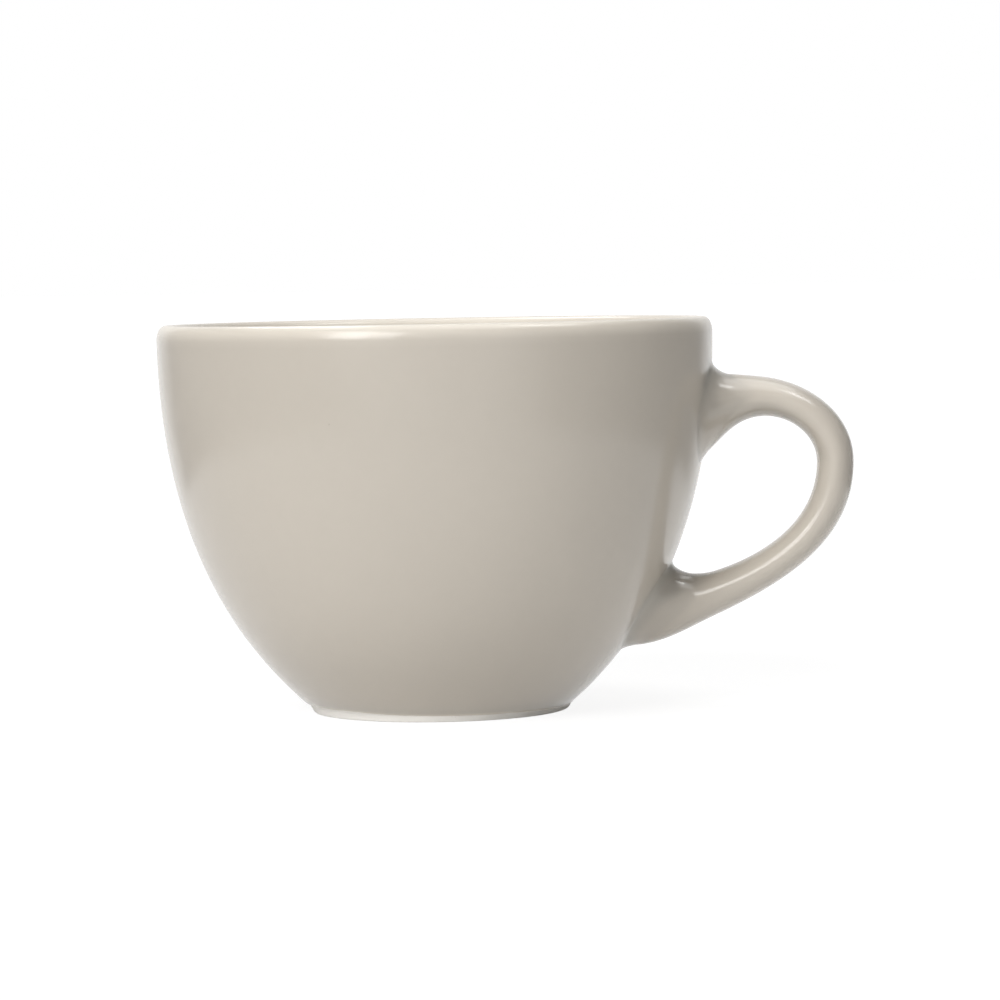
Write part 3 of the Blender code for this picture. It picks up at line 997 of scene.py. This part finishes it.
def clay_grain(name):
    """Shader group: the fine sandy grain of fired clay, with faint stains."""
    tree, wire, given = new_group(name, "ShaderNodeTree", CLAY_INPUTS, SURFACE)
    place = wire.add("ShaderNodeTexCoord").outputs["Object"]
    grain = wire.noise(place, *GRAIN)
    cloud = wire.noise(place, *STAINS)
    gritty = wire.math("MULTIPLY", wire.ramp(grain, *GRIT_EDGE), GRIT_SHARE)
    stained = wire.math("MULTIPLY", wire.ramp(cloud, *STAIN_EDGE), STAIN_SHARE)
    tone = wire.mix(wire.math("MAXIMUM", gritty, stained), given["Clay"], given["Grit"])
    roughness = wire.math("ADD", wire.math("MULTIPLY", cloud, STAIN_DULL), CLAY_ROUGHNESS)
    wire.add("NodeGroupOutput", {"Colour": tone, "Roughness": roughness, "Height": grain})
    return tree


# The glaze's clouding and roughness, the depth in metres of all fine relief, and its strengths
GLAZE_CLOUD = 0.06
GLAZE_ROUGHNESS = 0.17
RELIEF_DEPTH = 0.0001
GLAZE_RELIEF = 0.25
CLAY_RELIEF = 0.5
WHITE = (1.0, 1.0, 1.0, 1.0)


def shared_group(name, maker):
    """A shader group, built the first time it is asked for."""
    return bpy.data.node_groups.get(name) or maker(name)


def new_material(name):
    """A node material, its wiring and its Principled shader."""
    material = bpy.data.materials.new(name)
    material.use_nodes = True
    return material, Wiring(material.node_tree), material.node_tree.nodes["Principled BSDF"]


def four(rgb):
    """A colour with its alpha."""
    return (*rgb, 1.0)


def show_surface(wire, shader, surface, relief):
    """Show a shader group's colour and roughness, and its height as a bump."""
    height = {"Height": surface.outputs["Height"], "Distance": RELIEF_DEPTH, "Strength": relief}
    shown = {
        "Base Color": surface.outputs["Colour"],
        "Roughness": surface.outputs["Roughness"],
        "Normal": wire.add("ShaderNodeBump", height).outputs[0],
    }
    wire.feed(shader, shown)


def glaze_material(name, colours):
    """Satin-glossy warm grey glaze."""
    material, wire, shader = new_material(name)
    inputs = {
        "Glaze": four(colours.glaze),
        "Thin Glaze And Highlight": four(colours.thin),
        "Pooled Glaze And Shade": four(colours.pooled_and_shade),
        "Speck": four(colours.speck),
        # Masks of thin glaze with a painted highlight, and of pooled glaze with painted shade
        "Thin And Highlight": wire.attribute("thin"),
        "Pool And Shade": wire.attribute("pool"),
        "Cloud": GLAZE_CLOUD,
        "Plain Roughness": GLAZE_ROUGHNESS,
    }
    glaze = wire.add("ShaderNodeGroup", inputs, node_tree=shared_group("Fired glaze", fired_glaze))
    show_surface(wire, shader, glaze, GLAZE_RELIEF)
    return material


def clay_material(name, colours):
    """Unglazed cream clay."""
    material, wire, shader = new_material(name)
    inputs = {"Clay": four(colours.clay), "Grit": four(colours.speck)}
    clay = wire.add("ShaderNodeGroup", inputs, node_tree=shared_group("Clay grain", clay_grain))
    show_surface(wire, shader, clay, CLAY_RELIEF)
    return material


def plain_material(name):
    """A material that shows nothing yet, its wiring and its output."""
    material, wire, shader = new_material(name)
    material.node_tree.nodes.remove(shader)
    return material, wire, material.node_tree.nodes["Material Output"]


def by_rays(wire, soft, shown):
    """One shader for soft light, and another for the camera and for what gloss and glass show."""
    rays = wire.add("ShaderNodeLightPath").outputs
    clear = wire.math("MAXIMUM", rays["Is Glossy Ray"], rays["Is Transmission Ray"])
    direct = wire.math("MAXIMUM", rays["Is Camera Ray"], clear)
    mixed = wire.add("ShaderNodeMixShader", {0: direct, 1: soft.outputs[0], 2: shown.outputs[0]})
    return mixed.outputs[0]


# The floor as it is seen: its own glow, the grey that the light adds to it, and half its side in metres
FLOOR_GLOW = 0.89
FLOOR_SHADE = 0.19
FLOOR_HALF = 20.0


def floor_material(colours):
    """A pale floor that reads white, and keeps the cup's shadow."""
    material, wire, output = plain_material("Studio floor")
    plain = wire.add("ShaderNodeBsdfDiffuse", {"Color": four(colours.floor)})
    glow = wire.add("ShaderNodeEmission", {"Strength": FLOOR_GLOW})
    shade = wire.add("ShaderNodeBsdfDiffuse", {"Color": four([FLOOR_SHADE] * 3)})
    white = wire.add("ShaderNodeAddShader", {0: glow.outputs[0], 1: shade.outputs[0]})
    wire.feed(output, {"Surface": by_rays(wire, plain, white)})
    return material


def studio_world(strength):
    """White to the eye and in reflections, and a soft light all round."""
    world = bpy.data.worlds.new("Studio")
    world.use_nodes = True
    wire = Wiring(world.node_tree)
    soft = world.node_tree.nodes["Background"]
    wire.feed(soft, {"Color": WHITE, "Strength": strength})
    shown = wire.add("ShaderNodeBackground", {"Color": WHITE, "Strength": 1.0})
    wire.feed(world.node_tree.nodes["World Output"], {"Surface": by_rays(wire, soft, shown)})
    return world


def level(heading):
    """Unit step, level, from the cup towards a heading: 0 is towards -Y, and it grows towards +X."""
    return Vector((math.sin(heading), -math.cos(heading), 0.0))


def towards(heading, rise):
    """Unit step from the cup towards a heading and a rise above the floor."""
    return math.cos(rise) * level(heading) + math.sin(rise) * UP


def aimed(name, data, turn, place):
    """A camera or a light, turned and put in its place."""
    thing = placed(name, data)
    thing.rotation_mode = "QUATERNION"
    thing.rotation_quaternion = turn
    thing.location = place
    return thing


def hide_from(thing, *rays):
    """Hide an object from these kinds of rays."""
    for ray in rays:
        setattr(thing, f"visible_{ray}", False)


# The nearest that the camera sees, in metres
CLIP_START = 0.01


def studio_camera(stage):
    """The camera, at the photographed height, distance and lean."""
    away = level(stage.camera_heading)
    right = Vector((-away.y, away.x, 0.0))
    eye = AXIS + stage.camera_distance * away + stage.camera_height * UP
    aim = AXIS + stage.aim_side * right + stage.aim_height * UP
    lens = bpy.data.cameras.new("Studio camera")
    lens.lens = stage.lens
    lens.clip_start = CLIP_START
    turn = (aim - eye).to_track_quat("-Z", "Y") @ Quaternion(UP, stage.camera_roll)
    return aimed("Studio camera", lens, turn, eye)


def soft_sun(name, direction, size, strength):
    """A wide soft light from one side, which gloss doesn't show."""
    sun = bpy.data.lights.new(name, "SUN")
    sun.energy = strength
    sun.angle = size
    lamp = aimed(name, sun, direction.to_track_quat("Z", "Y"), direction)
    hide_from(lamp, "glossy")


def softbox(name, upper, lower, width, brightness):
    """A flat light from one end to the other, facing the cup, which only its gloss shows."""
    along = (upper - lower).normalized()
    middle = (upper + lower) / 2
    back = (middle - middle.dot(along) * along).normalized()
    box = bpy.data.lights.new(name, "AREA")
    box.shape = "RECTANGLE"
    box.size = (upper - lower).length
    box.size_y = width
    box.energy = brightness * math.pi * box.size * box.size_y
    turn = Matrix((along, back.cross(along), back)).transposed().to_quaternion()
    lamp = aimed(name, box, turn, middle + AXIS)
    hide_from(lamp, "camera", "diffuse")


# Softboxes: how far off they stand, in metres, and their ends as turns from the camera's heading and
# rises above the floor, in degrees
SOFTBOXES = {
    "Strip": {"far": 1.0, "ends": ((-21.0, 40.0), (-28.0, 8.0)), "width": 0.22, "share": 1.0},
    "Window": {"far": 0.275, "ends": ((-31.5, 48.0), (-32.5, 22.6)), "width": 0.06, "share": 1.1},
    "Left": {"far": 1.0, "ends": ((-150.0, 46.0), (-112.0, 74.0)), "width": 0.22, "share": 1.0},
    "Right": {"far": 1.0, "ends": ((62.0, 70.0), (85.0, 54.0)), "width": 0.16, "share": 1.2},
    "Overhead": {"far": 1.0, "ends": ((-90.0, 62.0), (90.0, 62.0)), "width": 1.10, "share": 0.32},
}

# Turns from the camera's heading, rises and widths of the lesser lights
TOP = (0.0, math.radians(90.0), math.radians(20.0))
FILL = (math.pi, math.radians(50.0), math.radians(70.0))
FRONT = (math.radians(30.0), math.radians(5.0), math.radians(30.0))


def studio_lights(stage):
    """Soft light from the key side, overhead, behind and in front, and softboxes for the highlights."""
    heading = stage.camera_heading
    key = (stage.key_heading, stage.key_rise, stage.key_size)
    suns = (
        ("Key", key, stage.key_strength),
        ("Top", TOP, stage.top_strength),
        ("Fill", FILL, stage.fill_strength),
        ("Front", FRONT, stage.front_strength),
    )
    for name, (turn, rise, size), strength in suns:
        soft_sun(name, towards(heading + turn, rise), size, strength)
    for name, box in SOFTBOXES.items():
        ends = [towards(heading + math.radians(turn), math.radians(rise)) for turn, rise in box["ends"]]
        upper, lower = (box["far"] * end for end in ends)
        softbox(name, upper, lower, box["width"], stage.box_level * box["share"])


# The side screens, as turns to either side of the camera's heading, between ends that fade to white,
# with their distance and height in metres
SCREEN_TURNS = (math.radians(20.0), math.radians(143.0))
SCREEN_FADES = (math.radians(28.0), math.radians(18.0))
SCREEN_RADIUS = 0.25
SCREEN_HEIGHT = 0.30
SCREEN_STEPS = 48


def side_screens(stage):
    """Curved grey screens on both sides of the cup, out of the picture, for its gloss to mirror."""
    material, wire, output = plain_material("Grey screen")
    glow = wire.add("ShaderNodeEmission", {"Strength": wire.attribute("grey")})
    wire.feed(output, {"Surface": glow.outputs[0]})
    turns = np.linspace(*SCREEN_TURNS, SCREEN_STEPS + 1)
    inner_fade, outer_fade = SCREEN_FADES
    held = smooth((turns - turns[0]) / inner_fade) * smooth((turns[-1] - turns) / outer_fade)
    greys = 1.0 - (1.0 - stage.screen_grey) * held
    across = len(turns)
    faces = [(step, step + 1, across + step + 1, across + step) for step in range(SCREEN_STEPS)]
    screens = []
    for name, side in (("left_screen", -1.0), ("right_screen", 1.0)):
        feet = [AXIS + SCREEN_RADIUS * level(stage.camera_heading + side * turn) for turn in turns]
        tops = [foot + SCREEN_HEIGHT * UP for foot in feet]
        mesh = bpy.data.meshes.new(name)
        mesh.from_pydata(feet + tops, [], faces)
        keep_values(mesh, "grey", np.tile(greys, 2))
        mesh.materials.append(material)
        screen = placed(name, mesh)
        hide_from(screen, "camera", "diffuse", "transmission", "shadow")
        screens.append(screen)
    return screens


class CUP_OT_throw_bowl(bpy.types.Operator):
    """Turn the bowl and glaze it"""

    bl_idname = "cup.throw_bowl"
    bl_label = "Throw the bowl"

    def execute(self, context):
        bowl = throw_bowl(context.scene)
        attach(bowl, "root")
        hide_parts("cup_bowl")
        return {"FINISHED"}


class CUP_OT_draw_handle(bpy.types.Operator):
    """Draw the handle's loop between its two roots"""

    bl_idname = "cup.draw_handle"
    bl_label = "Draw the handle"

    def execute(self, context):
        scene = context.scene
        grid, normals, pool = handle_skin(scene.cup_bowl, scene.cup_handle)["loop"]
        material = glaze_material("Handle glaze", scene.cup_colours)
        loop = skin_piece("handle_loop", grid, normals, pool, material)
        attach(loop, "root")
        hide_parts("handle")
        return {"FINISHED"}


class CUP_OT_stick_joints(bpy.types.Operator):
    """Run a glazed fillet of slip from each end of the handle out onto the wall"""

    bl_idname = "cup.stick_joints"
    bl_label = "Stick the joints"

    def execute(self, context):
        scene = context.scene
        skin = handle_skin(scene.cup_bowl, scene.cup_handle)
        material = glaze_material("Joint glaze", scene.cup_colours)
        for end, node in (("upper", "upper_slip_joint"), ("lower", "lower_slip_joint")):
            grid, normals, pool = skin[end]
            fillet = skin_piece(f"{end}_joint_fillet", grid, normals, pool, material)
            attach(fillet, "root")
            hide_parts(node)
        return {"FINISHED"}


class CUP_OT_set_stage(bpy.types.Operator):
    """Lay the floor, and set the light and the camera"""

    bl_idname = "cup.set_stage"
    bl_label = "Set the stage"

    def execute(self, context):
        scene = context.scene
        stage = scene.cup_stage
        corners = [(-1, -1), (1, -1), (1, 1), (-1, 1)]
        mesh = bpy.data.meshes.new("studio_floor")
        mesh.from_pydata([(FLOOR_HALF * x, FLOOR_HALF * y, 0.0) for x, y in corners], [], [(0, 1, 2, 3)])
        mesh.materials.append(floor_material(scene.cup_colours))
        placed("studio_floor", mesh)
        scene.world = studio_world(stage.sky_strength)
        studio_lights(stage)
        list(side_screens(stage))
        scene.camera = studio_camera(stage)
        scene.view_settings.view_transform = "Standard"
        return {"FINISHED"}


class CUP_PT_panel(bpy.types.Panel):
    """The cup's settings and steps"""

    bl_idname = "CUP_PT_panel"
    bl_label = "Breakfast cup"
    bl_space_type = "VIEW_3D"
    bl_region_type = "UI"
    bl_category = "Cup"

    def draw(self, context):
        for group_name, group in GROUPS.items():
            box = self.layout.box()
            for name in group.__annotations__:
                box.prop(getattr(context.scene, group_name), name)
        for operator in STEPS:
            self.layout.operator(operator.bl_idname)


GROUPS = {
    "cup_bowl": BowlSizes,
    "cup_handle": HandleSizes,
    "cup_colours": CupColours,
    "cup_stage": StageSettings,
}
STEPS = (CUP_OT_throw_bowl, CUP_OT_draw_handle, CUP_OT_stick_joints, CUP_OT_set_stage)
CLASSES = (*GROUPS.values(), *STEPS, CUP_PT_panel)


def register():
    """Add the settings, the steps and the panel."""
    for cls in CLASSES:
        bpy.utils.register_class(cls)
    for name, group in GROUPS.items():
        setattr(bpy.types.Scene, name, PointerProperty(type=group))


def unregister():
    """Take them away again."""
    for name in GROUPS:
        delattr(bpy.types.Scene, name)
    for cls in reversed(CLASSES):
        bpy.utils.unregister_class(cls)


def main():
    """Dress the cup step by step."""
    register()
    bpy.ops.cup.throw_bowl()
    bpy.ops.cup.draw_handle()
    bpy.ops.cup.stick_joints()
    bpy.ops.cup.set_stage()


if __name__ == "__main__":
    main()
